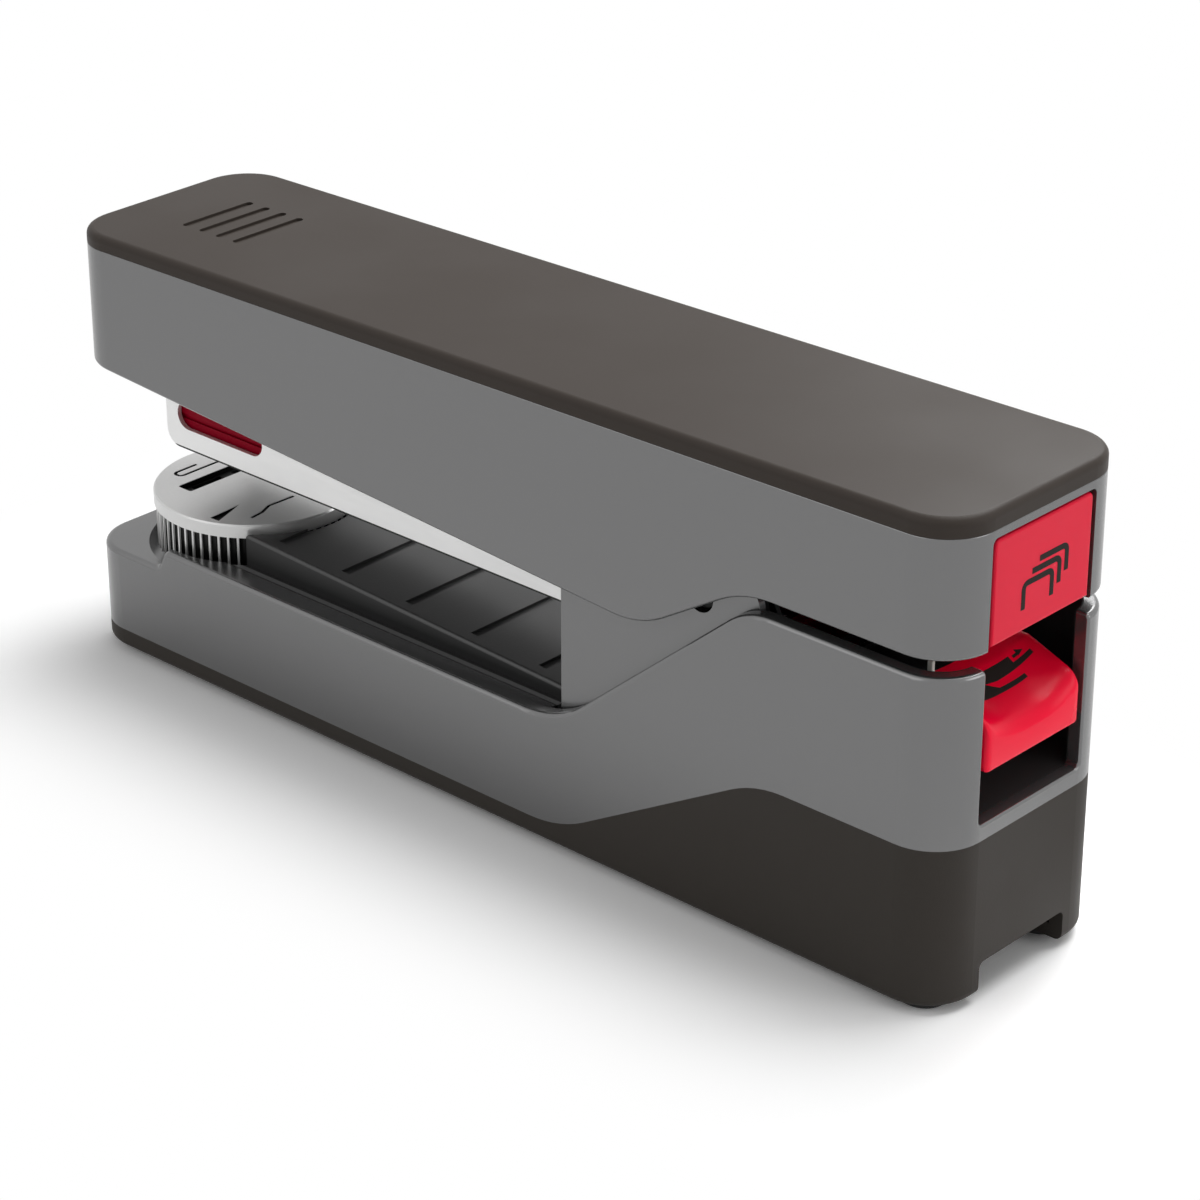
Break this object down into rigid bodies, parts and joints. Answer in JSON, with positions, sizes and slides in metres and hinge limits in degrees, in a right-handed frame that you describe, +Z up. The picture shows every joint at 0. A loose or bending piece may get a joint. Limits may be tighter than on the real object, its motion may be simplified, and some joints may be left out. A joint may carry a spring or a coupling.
{
  "type": "desk stapler",
  "caption": "Desk stapler with a rounded slab handle, wave-seamed base, turntable anvil, pull-out staple drawer, rear load button and rear thumb lever.",
  "frame": {"origin": "on the table, under the middle of the base", "axes": "+X from nose to rear along the length, +Y across the width, +Z up"},
  "size_m": [0.183, 0.04, 0.078],
  "materials": {
    "soft_cover": "soft-touch, fine matte grain",
    "dark_shell": "matte moulded, fine grain",
    "grey_shell": "satin metallic grey",
    "deck_black": "matte moulded",
    "pad_rubber": "matte rubber",
    "anvil_metal": "satin die casting",
    "dark_steel": "blackened",
    "bright_steel": "bright fine grain",
    "steel": "plain zinc plated",
    "spring_steel": "drawn wire",
    "staple_wire": "galvanised wire",
    "brass": "turned",
    "nylon": "natural nylon",
    "red_gloss": "gloss moulded red",
    "red_drawer": "satin moulded red"
  },
  "bodies": {
    "base": {"base_tray": "dark_shell", "base_shell": "grey_shell", "deck_insert": "deck_black", "pivot_yoke": "grey_shell", "hinge_pin": "dark_steel", "pin_spacers": "nylon", "anti_slip_pads": "pad_rubber", "base_screws": "steel", "anvil_spring_washer": "spring_steel", "lever_pin": "steel", "lever_spring": "spring_steel", "return_spring": "spring_steel"},
    "anvil": {"anvil_turntable": "anvil_metal", "anvil_plate": "dark_steel", "anvil_retaining_screw": "steel"},
    "handle": {"handle_shell": "grey_shell", "top_cover": "soft_cover", "handle_frame": "dark_steel", "frame_screws": "steel", "handle_bushes": "brass", "blade_holder": "deck_black", "driver_blade": "spring_steel", "blade_screws": "steel", "handle_spring": "spring_steel", "button_springs": "spring_steel"},
    "load_button": {"load_button": "red_gloss"},
    "lever": {"release_lever": "red_gloss"},
    "magazine": {"magazine_channel": "bright_steel", "magazine_bridge": "bright_steel", "drawer_catch": "spring_steel"},
    "drawer": {"staple_drawer": "red_drawer", "nose_plate": "bright_steel", "guide_rod": "steel", "staple_strip": "staple_wire", "pusher_spring": "spring_steel"},
    "pusher": {"staple_pusher": "deck_black"}
  },
  "joints": [
    {"name": "handle_press", "type": "hinge", "parent": "base", "child": "handle", "pos_m": [0.044, 0, 0.0517], "axis": [0, -1, 0], "range_deg": [0, 6.4], "stiffness_Nm_per_rad": 2.5, "springref_deg": -11.46, "deforming": ["handle_spring"]},
    {"name": "magazine_pivot", "type": "hinge", "parent": "base", "child": "magazine", "pos_m": [0.044, 0, 0.0517], "axis": [0, -1, 0], "range_deg": [0, 2.9], "deforming": ["return_spring"]},
    {"name": "drawer_slide", "type": "slide", "parent": "magazine", "child": "drawer", "axis": [-1, 0, 0], "range_m": [0, 0.13]},
    {"name": "pusher_slide", "type": "slide", "parent": "drawer", "child": "pusher", "axis": [1, 0, 0], "range_m": [0, 0.035], "stiffness_N_per_m": 40, "springref_m": -0.05, "deforming": ["pusher_spring"]},
    {"name": "load_button_slide", "type": "slide", "parent": "handle", "child": "load_button", "axis": [-1, 0, 0], "range_m": [0, 0.004], "stiffness_N_per_m": 600, "springref_m": -0.004, "deforming": ["button_springs"]},
    {"name": "lever_press", "type": "hinge", "parent": "base", "child": "lever", "pos_m": [0.07, 0, 0.0454], "axis": [0, 1, 0], "range_deg": [0, 12], "stiffness_Nm_per_rad": 0.3, "springref_deg": -17.19, "deforming": ["lever_spring"]},
    {"name": "anvil_turn", "type": "hinge", "parent": "base", "child": "anvil", "pos_m": [-0.07, 0, 0.0194], "axis": [0, 0, 1], "continuous": true}
  ],
  "couplings": [
    {"joint": "magazine_pivot", "follows": "handle_press", "ratio": 0.45312}
  ]
}
